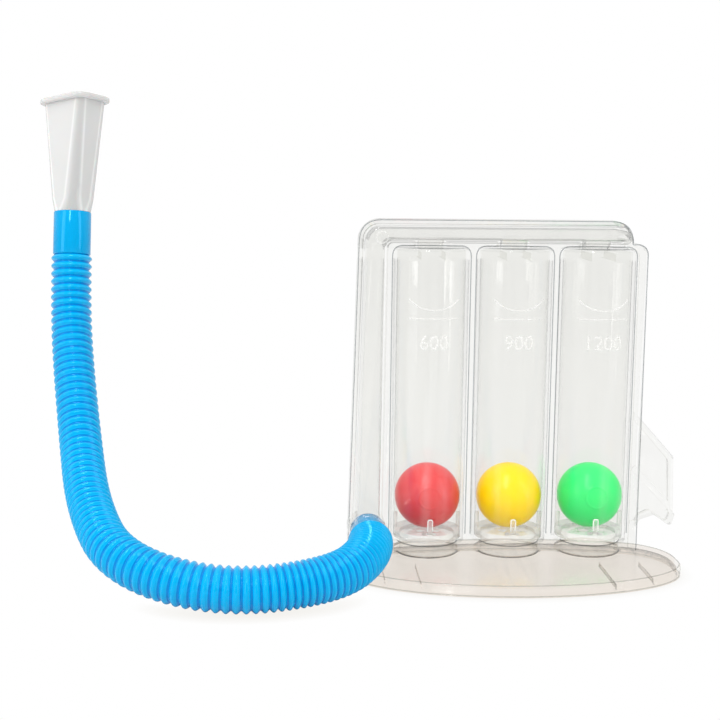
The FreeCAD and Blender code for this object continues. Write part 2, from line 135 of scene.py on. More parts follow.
def softbox(name, place, target, size, power):
    """A soft area light that faces its target; size is its width and height."""
    lamp = bpy.data.objects.new(name, bpy.data.lights.new(name, "AREA"))
    lamp.data.shape = "RECTANGLE"
    lamp.data.size, lamp.data.size_y = size
    lamp.data.energy = power
    aim = (Vector(target) - Vector(place)).to_track_quat("-Z", "Y")
    lamp.matrix_world = Matrix.Translation(place) @ aim.to_matrix().to_4x4()
    scene.collection.objects.link(lamp)


softbox("left_strip", (-0.79, -0.43, 0.36), (-0.17, 0.08, 0.14), (0.30, 0.7), 2.0)
softbox("right_strip", (0.53, -0.33, 0.36), (-0.17, 0.08, 0.14), (0.22, 0.7), 1.4)
softbox("top_strip", (-0.22, -0.42, 0.85), (-0.11, -0.03, 0.04), (0.13, 0.9), 5.0)

bpy.ops.mesh.primitive_circle_add(vertices=96, radius=TABLE_RADIUS, fill_type="NGON",
                                  location=(0, 0, TABLE_Z))
table_top = bpy.context.object
table_top.name = "table_top"
# White table: pure white to the camera, a little shaded where something stands on it.
white_table, tree = material("white_table")
contact = node(tree, "ShaderNodeAmbientOcclusion", Distance=CONTACT_REACH, samples=8)
painted_light_and_shade = node(tree, "ShaderNodeMix", [("Factor", contact.outputs["AO"]), (6, linear(CONTACT_SHADE)),
                                    (7, linear(WHITE))], data_type="RGBA")
bright = node(tree, "ShaderNodeEmission", [("Color", painted_light_and_shade.outputs[2])])
paint = node(tree, "ShaderNodeBsdfPrincipled", Base_Color=linear(TABLE_PAINT), Roughness=0.8)
ray = node(tree, "ShaderNodeLightPath")
seen = node(tree, "ShaderNodeMixShader", [(0, ray.outputs["Is Camera Ray"]),
                                          (1, paint.outputs[0]), (2, bright.outputs[0])])
node(tree, "ShaderNodeOutputMaterial", [("Surface", seen.outputs[0])])
table_top.data.materials.append(white_table)


# Body, foot and inlet plates, moulded in clear polystyrene. The two body halves are welded along
# their flanges into one wall and stand on the foot. The walls are too thin to bend what is seen
# through them, so light passes straight on, with grey lines where a wall is seen edge on.
POLYSTYRENE_IOR = 1.59
FACING_TINT, EDGE_TINT = "#FAFAF9", "#5E6060"
FOOT_TINT, FOOT_EDGE_TINT = "#FAF7F4", "#9A9B9A"
# Painted shade: grey tints of the beads along the flange rim, the chamber roots, the steps and the
# foot rim.
ROOT_PAINTED_SHADE, ROOT_EDGE_PAINTED_SHADE = "#DCDEDF", "#6A6C6C"
STEP_PAINTED_SHADE, STEP_EDGE_PAINTED_SHADE = "#D2D3D4", "#A4A6A8"
RIM_PAINTED_SHADE, RIM_EDGE_PAINTED_SHADE = "#ECEDEC", "#8E9090"
SHADOW_TINT = "#FCFCFC"
EDGE_POWER, GLOSS_POWER = 9.0, 5.0
FACING_GLOSS, SLANT_GLOSS, FLOW_LINE_GLOSS = 0.012, 0.85, 0.04
STOP_RIBS_LOW, STOP_RIBS_HIGH, RIB_FADE = 118.4 * MM, 122.9 * MM, 0.8 * MM
COLLAR_FADE_LOW, COLLAR_FADE_HIGH = 9.8 * MM, 10.8 * MM
LOW_EDGE_SHARE, FOOT_EDGE_SHARE = 0.35, 0.7
POLISHED, FOOT_ROUGHNESS = 0.06, 0.2
# The post's white haze is a painted highlight on the post edges.
INLET_HAZE, POST_PAINTED_HIGHLIGHT = 0.18, 0.75
RIB_SIDE_NORMAL = 0.998
WELD_REACH = 1e-6
SEAT_GAP = 0.03 * MM
SHARP_EDGE = math.radians(32)
INLET_NODES = ("inlet_600", "inlet_900", "inlet_1200")


def copy_of(name, source):
    """A copy of a CAD node's mesh as a new piece, with the corners of its triangles merged."""
    shape = bmesh.new()
    shape.from_mesh(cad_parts[source].data)
    bmesh.ops.remove_doubles(shape, verts=shape.verts, dist=WELD_REACH)
    mesh = bpy.data.meshes.new(name)
    shape.to_mesh(mesh)
    shape.free()
    piece = bpy.data.objects.new(name, mesh)
    scene.collection.objects.link(piece)
    return piece


def points_of(mesh):
    """All points of a mesh as an array."""
    places = np.empty(len(mesh.vertices) * 3)
    mesh.vertices.foreach_get("co", places)
    return places.reshape(-1, 3)


def lift_underside(places):
    """Lifts the lowest points by the seat gap, so that no face lies in the plane of its seat."""
    lowest = places[:, 2] < places[:, 2].min() + WELD_REACH
    places[:, 2] += np.where(lowest, SEAT_GAP, 0)


def edge_shares(tree, place, low_share):
    """Two shares from 0 to 1: how far a face is from looking straight sideways, and how much of
    the grey edges and the gloss a wall keeps, which is none on such a face and on the stop ribs,
    and low_share under the chambers."""
    up = node(tree, "ShaderNodeSeparateXYZ", [(0, place.outputs["Object"])]).outputs["Z"]
    under = node(tree, "ShaderNodeMapRange", [("Value", up)], From_Min=STOP_RIBS_LOW,
                 From_Max=STOP_RIBS_LOW + RIB_FADE, To_Min=1.0, To_Max=0.0)
    above = node(tree, "ShaderNodeMapRange", [("Value", up)], From_Min=STOP_RIBS_HIGH - RIB_FADE,
                 From_Max=STOP_RIBS_HIGH)
    off_ribs = node(tree, "ShaderNodeMath", [(0, under.outputs[0]), (1, above.outputs[0])],
                    operation="MAXIMUM")
    high = node(tree, "ShaderNodeMapRange", [("Value", up)], From_Min=COLLAR_FADE_LOW,
                From_Max=COLLAR_FADE_HIGH, To_Min=low_share)
    normal = node(tree, "ShaderNodeSeparateXYZ", [(0, place.outputs["Normal"])])
    sideways = node(tree, "ShaderNodeMath", [(0, normal.outputs["X"])], operation="ABSOLUTE")
    not_sideways = node(tree, "ShaderNodeMapRange", [("Value", sideways.outputs[0])],
                        From_Min=RIB_SIDE_NORMAL, From_Max=1.0, To_Min=1.0, To_Max=0.0)
    edges = node(tree, "ShaderNodeMath", [(0, off_ribs.outputs[0]), (1, high.outputs[0])],
                 operation="MULTIPLY")
    edges = node(tree, "ShaderNodeMath", [(0, edges.outputs[0]), (1, not_sideways.outputs[0])],
                 operation="MULTIPLY")
    return not_sideways.outputs[0], edges.outputs[0]


def clear_polystyrene(name, facing=FACING_TINT, edge=EDGE_TINT, haze=0.0, roughness=POLISHED,
                      low_share=LOW_EDGE_SHARE):
    """Clear moulded plastic: light passes with a tint that deepens where a wall is seen edge on,
    and a polished skin mirrors the room, more at a slant and along upright flow lines.

    haze is the share of white in the plastic, and low_share goes to edge_shares."""
    made, tree = material(name)
    place = node(tree, "ShaderNodeTexCoord")
    not_sideways, edges = edge_shares(tree, place, low_share)
    slant = node(tree, "ShaderNodeLayerWeight", Blend=0.5).outputs["Facing"]
    depth = node(tree, "ShaderNodeMath", [(0, slant), (1, EDGE_POWER)], operation="POWER")
    depth = node(tree, "ShaderNodeMath", [(0, depth.outputs[0]), (1, edges)],
                 operation="MULTIPLY")
    tint = node(tree, "ShaderNodeMix", [("Factor", depth.outputs[0]), (6, linear(facing)),
                                        (7, linear(edge))], data_type="RGBA")
    tint = node(tree, "ShaderNodeMix", [("Factor", not_sideways), (6, linear(WHITE)),
                                        (7, tint.outputs[2])], data_type="RGBA")
    through = node(tree, "ShaderNodeBsdfTransparent", [("Color", tint.outputs[2])])
    white = node(tree, "ShaderNodeBsdfDiffuse", Color=linear(WHITE))
    body = node(tree, "ShaderNodeMixShader", [(0, haze), (1, through.outputs[0]),
                                              (2, white.outputs[0])])
    flow = node(tree, "ShaderNodeTexNoise", [("Vector", place.outputs["Object"])], Scale=60.0,
                Detail=2.0)
    waves = node(tree, "ShaderNodeBump", [("Height", flow.outputs[0])], Strength=0.12,
                 Distance=0.8 * MM)
    mirror = node(tree, "ShaderNodeBsdfGlossy", [("Normal", waves.outputs[0])],
                  Color=linear(WHITE), Roughness=roughness)
    upright = node(tree, "ShaderNodeMapping", [("Vector", place.outputs["Object"])],
                   Scale=(1.0, 0.6, 0.04))
    lines = node(tree, "ShaderNodeTexNoise", [("Vector", upright.outputs[0])], Scale=260.0,
                 Detail=1.5)
    streaks = node(tree, "ShaderNodeMapRange", [("Value", lines.outputs[0])], From_Min=0.45,
                   From_Max=0.75, To_Min=0.0, To_Max=FLOW_LINE_GLOSS)
    shown = node(tree, "ShaderNodeMath", [(0, slant), (1, GLOSS_POWER)], operation="POWER")
    shown = node(tree, "ShaderNodeMapRange",
                 [("Value", shown.outputs[0]), ("To Min", streaks.outputs[0])],
                 To_Max=SLANT_GLOSS)
    shown = node(tree, "ShaderNodeMath", [(0, shown.outputs[0]), (1, FACING_GLOSS)],
                 operation="ADD")
    shown = node(tree, "ShaderNodeMath", [(0, shown.outputs[0]), (1, edges)],
                 operation="MULTIPLY")
    walls = node(tree, "ShaderNodeMixShader", [(0, shown.outputs[0]), (1, body.outputs[0]),
                                               (2, mirror.outputs[0])])
    ray = node(tree, "ShaderNodeLightPath")
    lamp_light = node(tree, "ShaderNodeBsdfTransparent", Color=linear(SHADOW_TINT))
    seen = node(tree, "ShaderNodeMixShader", [(0, ray.outputs["Is Shadow Ray"]),
                                              (1, walls.outputs[0]), (2, lamp_light.outputs[0])])
    node(tree, "ShaderNodeOutputMaterial", [("Surface", seen.outputs[0])])
    return made


def finish_clear(piece, surface, *nodes):
    """Smooths a clear piece between its sharp edges, with the broad walls kept straight, and hands
    it over as part of the housing."""
    piece.data.shade_smooth()
    piece.data.set_sharp_from_angle(angle=SHARP_EDGE)
    straight = piece.modifiers.new("straight_walls", "WEIGHTED_NORMAL")
    straight.keep_sharp = True
    straight.weight = 100
    piece.data.materials.clear()
    piece.data.materials.append(surface)
    if nodes:
        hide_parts(*nodes)
    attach(piece, "housing")


polystyrene = clear_polystyrene("clear_moulded_polystyrene")
foot_polystyrene = clear_polystyrene("polished_foot_polystyrene", FOOT_TINT, FOOT_EDGE_TINT,
                                     roughness=FOOT_ROUGHNESS, low_share=FOOT_EDGE_SHARE)
inlet_polystyrene = clear_polystyrene("hazy_inlet_polystyrene", haze=INLET_HAZE)
# The same plastic as beads along moulded edges: the grey tints are painted shade for the dark lines
# that these edges show, and the white haze on the post edges is a painted highlight.
root_painted_shade = clear_polystyrene("root_painted_shade_polystyrene", ROOT_PAINTED_SHADE, ROOT_EDGE_PAINTED_SHADE)
step_painted_shade = clear_polystyrene("step_painted_shade_polystyrene", STEP_PAINTED_SHADE, STEP_EDGE_PAINTED_SHADE)
rim_painted_shade = clear_polystyrene("rim_painted_shade_polystyrene", RIM_PAINTED_SHADE, RIM_EDGE_PAINTED_SHADE)
post_painted_highlight = clear_polystyrene("post_edge_painted_highlight_polystyrene", haze=POST_PAINTED_HIGHLIGHT)

front_half, rear_half = copy_of("front_half", "front_shell"), copy_of("rear_half", "rear_shell")
weld = front_half.modifiers.new("weld", "BOOLEAN")
weld.operation = "UNION"
weld.solver = "EXACT"
weld.object = rear_half
welded = front_half.evaluated_get(bpy.context.evaluated_depsgraph_get())
body_mesh = bpy.data.meshes.new_from_object(welded)
clear_body = bpy.data.objects.new("clear_body", body_mesh)
scene.collection.objects.link(clear_body)
bpy.data.objects.remove(front_half)
bpy.data.objects.remove(rear_half)
places = points_of(body_mesh)
lift_underside(places)
body_mesh.vertices.foreach_set("co", places.ravel())
finish_clear(clear_body, polystyrene, "front_shell", "rear_shell")

finish_clear(copy_of("oval_foot", "foot"), foot_polystyrene, "foot")
for name in INLET_NODES:
    plate = copy_of(name + "_plate", name)
    places = points_of(plate.data)
    axis = (places.min(0) + places.max(0)) / 2
    radius = (places.max(0) - axis)[0]
    places[:, :2] = axis[:2] + (places[:, :2] - axis[:2]) * (radius - SEAT_GAP) / radius
    lift_underside(places)
    plate.data.vertices.foreach_set("co", places.ravel())
    finish_clear(plate, inlet_polystyrene, name)


# Balls, moulded in coloured polypropylene with a half-gloss skin. The moulding gate leaves a small
# ring on each, which shows on the red and the green ball.
BALL_RADIUS = 12.7 * MM
BALL_RINGS, BALL_AROUND = 96, 128
GATE_RING_RADIUS, GATE_RING_HEIGHT, GATE_RING_WIDTH = 4.2 * MM, 0.3 * MM, 0.25 * MM
BALLS = {"ball_600": ("red_ball", "#DE4A4C", (-0.02, -0.98, 0.12)),
         "ball_900": ("yellow_ball", "#FFD800", (0.5, 0.7, 0.3)),
         "ball_1200": ("green_ball", "#34E878", (0.02, -0.98, 0.13))}


def skin(name, rings, poles=None, closed=False):
    """A mesh over rings of points, shape (rings, points, 3), each joined to the next one.

    poles are two points that close the first and the last ring, and closed joins the last ring to
    the first."""
    rows, around = rings.shape[:2]
    k = np.arange(around)
    r = np.arange(rows if closed else rows - 1)[:, None]
    low, high = r * around, (r + 1) % rows * around
    following = (k + 1) % around
    faces = np.stack([low + k, low + following, high + following, high + k], axis=2)
    faces = faces.reshape(-1, 4).tolist()
    points = rings.reshape(-1, 3)
    if poles is not None:
        points = np.vstack([points, poles])
        first, last = rows * around, rows * around + 1
        faces += np.stack([np.full(around, first), following, k], axis=1).tolist()
        top = (rows - 1) * around
        faces += np.stack([np.full(around, last), top + k, top + following], axis=1).tolist()
    mesh = bpy.data.meshes.new(name)
    mesh.from_pydata(points.tolist(), [], faces)
    mesh.shade_smooth()
    piece = bpy.data.objects.new(name, mesh)
    scene.collection.objects.link(piece)
    return piece


def ball(name, centre, gate):
    """Sphere of radius R + h exp(-((R a - g) / w)^2), with a the angle from the gate's direction
    and g, h and w the radius, height and width of the gate's ring."""
    polar = np.linspace(0, np.pi, BALL_RINGS + 2)[1:-1, None]
    turn = np.linspace(0, 2 * np.pi, BALL_AROUND, endpoint=False)[None, :]
    across = np.stack([np.sin(polar) * np.cos(turn), np.sin(polar) * np.sin(turn),
                       np.cos(polar) * np.ones_like(turn)], axis=2)
    gate = np.array(gate) / np.linalg.norm(gate)
    helper = np.cross(gate, (0, 0, 1.0))
    helper /= np.linalg.norm(helper)
    outward = across @ np.stack([np.cross(helper, gate), helper, gate])
    from_ring = (polar * BALL_RADIUS - GATE_RING_RADIUS) / GATE_RING_WIDTH
    swell = GATE_RING_HEIGHT * np.exp(-from_ring ** 2)
    rings = centre + outward * (BALL_RADIUS + swell)[..., None]
    return skin(name, rings, poles=[centre + gate * BALL_RADIUS, centre - gate * BALL_RADIUS])


def coloured_polypropylene(name, colour):
    """Half-gloss polypropylene: saturated colour with a little light scattered under the skin."""
    made, tree = material(name)
    place = node(tree, "ShaderNodeTexCoord")
    cloud = node(tree, "ShaderNodeTexNoise", [("Vector", place.outputs["Object"])], Scale=90.0,
                 Detail=3.0)
    gloss = node(tree, "ShaderNodeMapRange", [("Value", cloud.outputs[0])], To_Min=0.24,
                 To_Max=0.34)
    grain = node(tree, "ShaderNodeBump", [("Height", cloud.outputs[0])], Strength=0.03,
                 Distance=0.5 * MM)
    body = node(tree, "ShaderNodeBsdfPrincipled",
                [("Roughness", gloss.outputs[0]), ("Normal", grain.outputs[0])],
                Base_Color=linear(colour), IOR=1.49, Specular_IOR_Level=0.3,
                Subsurface_Weight=0.25, Subsurface_Scale=4 * MM)
    node(tree, "ShaderNodeOutputMaterial", [("Surface", body.outputs[0])])
    return made


for name, (slot, colour, gate) in BALLS.items():
    low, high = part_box(name)
    centre = np.array([(a + b) / 2 for a, b in zip(low, high)])
    piece = ball(name + "_skin", centre, gate)
    piece.data.materials.append(coloured_polypropylene(slot + "_polypropylene", colour))
    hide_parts(name)
    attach(piece, name)


# Marks moulded on each chamber's front: a flow figure under a straight line and a hanging arc, all
# standing a little proud of the wall.
CHAMBER_RADIUS = 14.4 * MM
PLANE_Y = 15.3 * MM
CHAMBER_PITCH = 32.0 * MM
MIDDLE_CHAMBER_X = -1.3 * MM
CHAMBER_X = {rating: MIDDLE_CHAMBER_X + step * CHAMBER_PITCH
             for step, rating in zip((-1, 0, 1), ("600", "900", "1200"))}
ARC_RADIUS, ARC_LOW_Z = 14.5 * MM, 100.7 * MM
LINE_Z = 97.5 * MM
MARK_HALF_WIDTH = 10.0 * MM
BEAD_RADIUS, BEAD_AROUND, BEAD_STEPS = 0.22 * MM, 10, 40
FIGURE_Z, FIGURE_SIZE, FIGURE_RELIEF = 88.3 * MM, 7.6 * MM, 0.15 * MM
TO_FRONT, UPWARDS = (0.0, -1.0, 0.0), (0.0, 0.0, 1.0)


def bead(name, line, outward, surface, closed=False):
    """Thin round bead along a line on a wall: circles square to the line. line and outward, the
    directions out from the wall, have the shape (points, 3)."""
    along = np.gradient(line, axis=0)
    if closed:
        along = np.roll(line, -1, axis=0) - np.roll(line, 1, axis=0)
    along /= np.linalg.norm(along, axis=1, keepdims=True)
    side = np.cross(along, outward)
    turn = np.linspace(0, 2 * np.pi, BEAD_AROUND, endpoint=False)[None, :, None]
    circles = np.cos(turn) * outward[:, None] + np.sin(turn) * side[:, None]
    ends = None if closed else [line[0], line[-1]]
    made = skin(name, line[:, None] + BEAD_RADIUS * circles, poles=ends, closed=closed)
    finish_clear(made, surface)


def on_chamber(axis_x, across, up, out=0.0):
    """Places on a chamber's front wall: across along the wall, up the chamber, out from it."""
    angle = across / CHAMBER_RADIUS
    reach = CHAMBER_RADIUS + out
    return np.stack([axis_x + reach * np.sin(angle), PLANE_Y - reach * np.cos(angle),
                     up + 0 * across], axis=-1)


# Matt polystyrene skin of the marks, which lets most of the light through.
matt_marks, tree = material("matt_moulded_marks")
place = node(tree, "ShaderNodeTexCoord")
grain = node(tree, "ShaderNodeTexNoise", [("Vector", place.outputs["Object"])], Scale=1400.0,
             Detail=2.0)
cover = node(tree, "ShaderNodeMapRange", [("Value", grain.outputs[0])], To_Min=0.0, To_Max=0.35)
frost = node(tree, "ShaderNodeBsdfPrincipled", Base_Color=linear(WHITE), Roughness=0.45,
             IOR=POLYSTYRENE_IOR)
through = node(tree, "ShaderNodeBsdfTransparent", Color=linear(FACING_TINT))
seen = node(tree, "ShaderNodeMixShader", [(0, cover.outputs[0]), (1, through.outputs[0]),
                                          (2, frost.outputs[0])])
node(tree, "ShaderNodeOutputMaterial", [("Surface", seen.outputs[0])])

for rating, axis_x in CHAMBER_X.items():
    across = np.linspace(-MARK_HALF_WIDTH, MARK_HALF_WIDTH, BEAD_STEPS)
    outward = on_chamber(axis_x, across, 0.0, 1.0) - on_chamber(axis_x, across, 0.0)
    hang = ARC_LOW_Z + ARC_RADIUS - np.sqrt(ARC_RADIUS ** 2 - across ** 2)
    bead("arc_" + rating, on_chamber(axis_x, across, hang), outward, matt_marks)
    bead("line_" + rating, on_chamber(axis_x, across, LINE_Z), outward, matt_marks)
    letters = bpy.data.curves.new("figure_" + rating, "FONT")
    letters.body = rating
    letters.size = FIGURE_SIZE
    letters.align_x = letters.align_y = "CENTER"
    letters.extrude = FIGURE_RELIEF
    holder = bpy.data.objects.new("figure_" + rating, letters)
    scene.collection.objects.link(holder)
    mesh = bpy.data.meshes.new_from_object(holder)
    bpy.data.objects.remove(holder)
    across, up, out = points_of(mesh).T
    mesh.vertices.foreach_set("co", on_chamber(axis_x, across, FIGURE_Z + up, out).ravel())
    figure = bpy.data.objects.new("figure_" + rating, mesh)
    scene.collection.objects.link(figure)
    finish_clear(figure, matt_marks)


# The edges of the body show as thin grey lines, drawn as beads in painted shade: the outline of the
# raised rim round the flange, the thick fillet where a chamber's wall meets the flange, and the
# lower edges of each chamber and of its collar.
FLANGE_FRONT, RIM_FRONT_Y = PLANE_Y - 1.5 * MM, PLANE_Y - 3.0 * MM
FLANGE_CORNERS = np.array(((-64.2, 5.0, 0), (-60.9, 133.7, 8.4), (43.4, 133.7, 8.4),
                           (43.4, 125.0, 0.3), (49.4, 125.0, 4.5), (49.4, 5.0, 0))) * MM
ROOT_OUT, ROOT_LOW, ROOT_TOP, ROOT_ROUND = 15.0 * MM, 11.5 * MM, 124.0 * MM, 4.2 * MM
STEPS = {"step_line_": (12.0 * MM, 9.3 * MM), "collar_line_": (12.3 * MM, 5.0 * MM)}
STEP_LINE_DEGREES = 75


def rounded_path(corners):
    """Line through corners (across, up, cut): each is a parabola between two points that lie its
    cut length away, on the runs to its two neighbours."""
    places, cuts = np.array(corners)[:, :2], np.array(corners)[:, 2]
    share = np.linspace(0, 1, 12)[:, None]
    path = [places[:1]]
    for before, place, after, cut in zip(places, places[1:], places[2:], cuts[1:]):
        start = place + cut * (before - place) / np.linalg.norm(before - place)
        end = place + cut * (after - place) / np.linalg.norm(after - place)
        path.append((1 - share) ** 2 * start + 2 * share * (1 - share) * place + share ** 2 * end)
    return np.concatenate(path + [places[-1:]])


def edge_line(name, corners, y, surface):
    """Bead along a rounded path in the upright plane at y."""
    across, up = rounded_path(corners).T
    line = np.stack([across, np.full(len(up), y), up], axis=1)
    bead(name, line, np.tile(TO_FRONT, (len(line), 1)), surface)


def arch(middle, half_width, low, top, cut):
    """Corners of an arch: up on the left, across and down on the right."""
    left, right = middle - half_width, middle + half_width
    return (left, low, 0), (left, top, cut), (right, top, cut), (right, low, 0)


edge_line("flange_edge", FLANGE_CORNERS, RIM_FRONT_Y, root_painted_shade)
turn = np.radians(np.linspace(-STEP_LINE_DEGREES, STEP_LINE_DEGREES, BEAD_STEPS))
outward = np.stack([np.sin(turn), -np.cos(turn), 0 * turn], axis=1)
for rating, axis_x in CHAMBER_X.items():
    edge_line("root_" + rating, arch(axis_x, ROOT_OUT, ROOT_LOW, ROOT_TOP, ROOT_ROUND),
              FLANGE_FRONT, root_painted_shade)
    for name, (radius, up) in STEPS.items():
        bead(name + rating, np.array((axis_x, PLANE_Y, up)) + radius * outward, outward,
             step_painted_shade)

# The foot's rim shows as two lines of painted shade, along its rounded upper edge and along its
# lower
# edge: half an ellipse in front, and behind it two round corners joined by a flatter curve.
FOOT_CENTRE_X = -1.2 * MM
RIM_WAIST_Y, RIM_REAR_Y = -1.0 * MM, 4.0 * MM
RIM_HALF, RIM_FRONT, RIM_BACK, RIM_CORNER = 64.1 * MM, 30.0 * MM, 27.0 * MM, 22.0 * MM
RIM_LINES = {"upper_rim": (0.6 * MM, 4.3 * MM), "lower_rim": (0.3 * MM, 0.4 * MM)}


def rim_line(inset, up):
    """Outline of the foot moved in by the inset: arcs of an ellipse, two corners and the back."""
    half, front, back = RIM_HALF - inset, RIM_FRONT - inset, RIM_BACK - inset
    r = RIM_CORNER - inset
    low = ((half - r) ** 2 - (back - r) ** 2) / (2 * (back - r))
    bend = math.asin((half - r) / (back + low - r))
    around = np.linspace(np.pi, 2 * np.pi, 120, endpoint=False)
    right = np.linspace(0, np.pi / 2 - bend, 30, endpoint=False)
    rear = np.linspace(np.pi / 2 - bend, np.pi / 2 + bend, 40, endpoint=False)
    left = np.linspace(np.pi / 2 + bend, np.pi, 30)
    x = np.concatenate([half * np.cos(around), half - r + r * np.cos(right),
                        (back + low) * np.cos(rear), r - half + r * np.cos(left)])
    y = np.concatenate([RIM_WAIST_Y + front * np.sin(around), RIM_REAR_Y + r * np.sin(right),
                        RIM_REAR_Y - low + (back + low) * np.sin(rear),
                        RIM_REAR_Y + r * np.sin(left)])
    return np.stack([FOOT_CENTRE_X + x, y, np.full(len(x), up)], axis=1)


for name, (inset, up) in RIM_LINES.items():
    line = rim_line(inset, up)
    bead(name, line, np.tile(UPWARDS, (len(line), 1)), rim_painted_shade, closed=True)

# Painted highlights along the edges of the front post under each ball, where they catch the light.
POST_HALF_WIDTH, POST_FOOT_Z, POST_TOP_Z, POST_ROUND = 0.9 * MM, 15.5 * MM, 20.0 * MM, 0.8 * MM
POST_Y = PLANE_Y - 12.85 * MM
for rating, axis_x in CHAMBER_X.items():
    edge_line("post_edge_" + rating,
              arch(axis_x, POST_HALF_WIDTH, POST_FOOT_Z, POST_TOP_Z, POST_ROUND), POST_Y,
              post_painted_highlight)

# One small round mark on the header.
HEADER_RING_PLACE = (-52.9 * MM, 5.3 * MM, 127.5 * MM)
HEADER_RING_RADIUS = 2.2 * MM
turn = np.linspace(0, 2 * np.pi, 48, endpoint=False)
circle = HEADER_RING_RADIUS * np.stack([np.cos(turn), 0 * turn, np.sin(turn)], axis=1)
bead("header_ring", np.array(HEADER_RING_PLACE) + circle, np.tile(TO_FRONT, (len(turn), 1)),
     matt_marks, closed=True)


# Hose: corrugated tube of glossy blue polyethylene, blown with rounded rings that let it bend, and
# plain at both ends. The lower end pushes into the port, the upper end takes the mouthpiece.
HOSE_ROUTE = ((-0.0569, -0.0087, 0.0150), (-0.0569, -0.0212, 0.0150), (-0.0705, -0.0402, 0.0102),
              (-0.1109, -0.0484, 0.0078), (-0.1477, -0.0343, 0.0146), (-0.1625, 0.0013, 0.0258),
              (-0.1706, 0.0383, 0.0456), (-0.1766, 0.0628, 0.0743), (-0.1787, 0.0744, 0.0964),
              (-0.1785, 0.0779, 0.1149))
HOSE_RADIUS, HOSE_BORE_RADIUS = 8.4 * MM, 6.3 * MM
RING_DEPTH, CREST_ROUND = 1.15 * MM, 0.75
RING_PITCH = np.array((1.8, 2.1, 2.4, 3.27, 3.3, 3.85, 3.45, 3.25)) * MM
RING_PITCH_AT = (0, 0.08, 0.18, 0.25, 0.55, 0.68, 0.8, 1)
HOSE_STEPS, BORE_STEPS, HOSE_AROUND = 1100, 60, 60
TANGENT_REACH = 2 * MM
PLAIN_BLUE, HOSE_SHEEN = "#0094CA", "#7ED2FF"
# Ring colours: painted shade in the valleys and a painted light line on the flanks.
RING_PAINTED_SHADE_AND_LIGHT = ((0, "#007DC4"), (0.22, "#007DC4"), (0.42, "#08ACE0"), (0.62, "#009ED2"),
              (1, "#009ED2"))


def smooth_line(name, points):
    """The points of a smooth curve that has the route's points as its control points."""
    line = bpy.data.curves.new(name, "CURVE")
    line.dimensions = "3D"
    line.resolution_u = 24
    spline = line.splines.new("NURBS")
    spline.points.add(len(points) - 1)
    for point, place in zip(spline.points, points):
        point.co = (*place, 1)
    spline.order_u = 3
    spline.use_endpoint_u = True
    holder = bpy.data.objects.new(name, line)
    scene.collection.objects.link(holder)
    mesh = bpy.data.meshes.new_from_object(holder)
    places = np.array([v.co for v in mesh.vertices])
    bpy.data.objects.remove(holder)
    bpy.data.meshes.remove(mesh)
    return places


def tube_along(name, path, steps, radii, around):
    """Tube round a path: rings of the given radii at the given distances along it, square to it."""
    runs = np.linalg.norm(np.diff(path, axis=0), axis=1)
    far = np.concatenate([[0], np.cumsum(runs)])

    def at(distances):
        """Points on the path at distances from its start."""
        return np.stack([np.interp(distances, far, path[:, k]) for k in range(3)], axis=1)

    along = at(steps + TANGENT_REACH) - at(steps - TANGENT_REACH)
    along /= np.linalg.norm(along, axis=1, keepdims=True)
    side = np.cross(along, (1.0, 0, 1.0))
    side /= np.linalg.norm(side, axis=1, keepdims=True)
    other = np.cross(along, side)
    turn = np.linspace(0, 2 * np.pi, around, endpoint=False)[None, :, None]
    circles = np.cos(turn) * side[:, None] + np.sin(turn) * other[:, None]
    return skin(name, at(steps)[:, None] + radii[:, None, None] * circles, closed=True)


def set_bands(ramp, bands):
    """Gives a colour ramp its bands of (place, sRGB hex colour), which start at 0 and end at 1."""
    first, last = ramp.elements
    first.color, last.color = linear(bands[0][1]), linear(bands[-1][1])
    for place, colour in bands[1:-1]:
        ramp.elements.new(place).color = linear(colour)


def glossy_polyethylene(name, colour):
    """Glossy blown polyethylene with a blue sheen, with its tree and its shader node."""
    made, tree = material(name)
    place = node(tree, "ShaderNodeTexCoord")
    cloud = node(tree, "ShaderNodeTexNoise", [("Vector", place.outputs["Object"])], Scale=120.0,
                 Detail=3.0)
    gloss = node(tree, "ShaderNodeMapRange", [("Value", cloud.outputs[0])], To_Min=0.06,
                 To_Max=0.13)
    body = node(tree, "ShaderNodeBsdfPrincipled", [("Roughness", gloss.outputs[0])],
                Base_Color=linear(colour), IOR=1.51, Specular_IOR_Level=0.6,
                Specular_Tint=linear(HOSE_SHEEN), Subsurface_Weight=0.05, Subsurface_Scale=3 * MM)
    node(tree, "ShaderNodeOutputMaterial", [("Surface", body.outputs[0])])
    return made, tree, body


def finish_blue(piece, surface, node_name):
    """Gives a piece of the hose its material and hands it over as part of the housing."""
    piece.data.materials.append(surface)
    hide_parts(node_name)
    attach(piece, "housing")


hose_line = smooth_line("hose_line", HOSE_ROUTE)
hose_run = np.linalg.norm(np.diff(hose_line, axis=0), axis=1).sum()
distance = np.linspace(0, hose_run, HOSE_STEPS)
pitch = np.interp(distance / hose_run, RING_PITCH_AT, RING_PITCH)
phase = np.concatenate([[0], np.cumsum(np.diff(distance) / pitch[1:])])
phase *= round(phase[-1]) / phase[-1]
crest = (0.5 - 0.5 * np.cos(2 * np.pi * phase)) ** CREST_ROUND
outer = HOSE_RADIUS - RING_DEPTH * (1 - crest)
bore_steps = np.linspace(hose_run, 0, BORE_STEPS)
hose = tube_along("hose_rings", hose_line, np.concatenate([distance, bore_steps]),
                  np.concatenate([outer, np.full(BORE_STEPS, HOSE_BORE_RADIUS)]), HOSE_AROUND)
shade = np.repeat(np.concatenate([crest, np.zeros(BORE_STEPS)]), HOSE_AROUND).astype(np.float32)
hose.data.attributes.new("crest", "FLOAT", "POINT").data.foreach_set("value", shade)

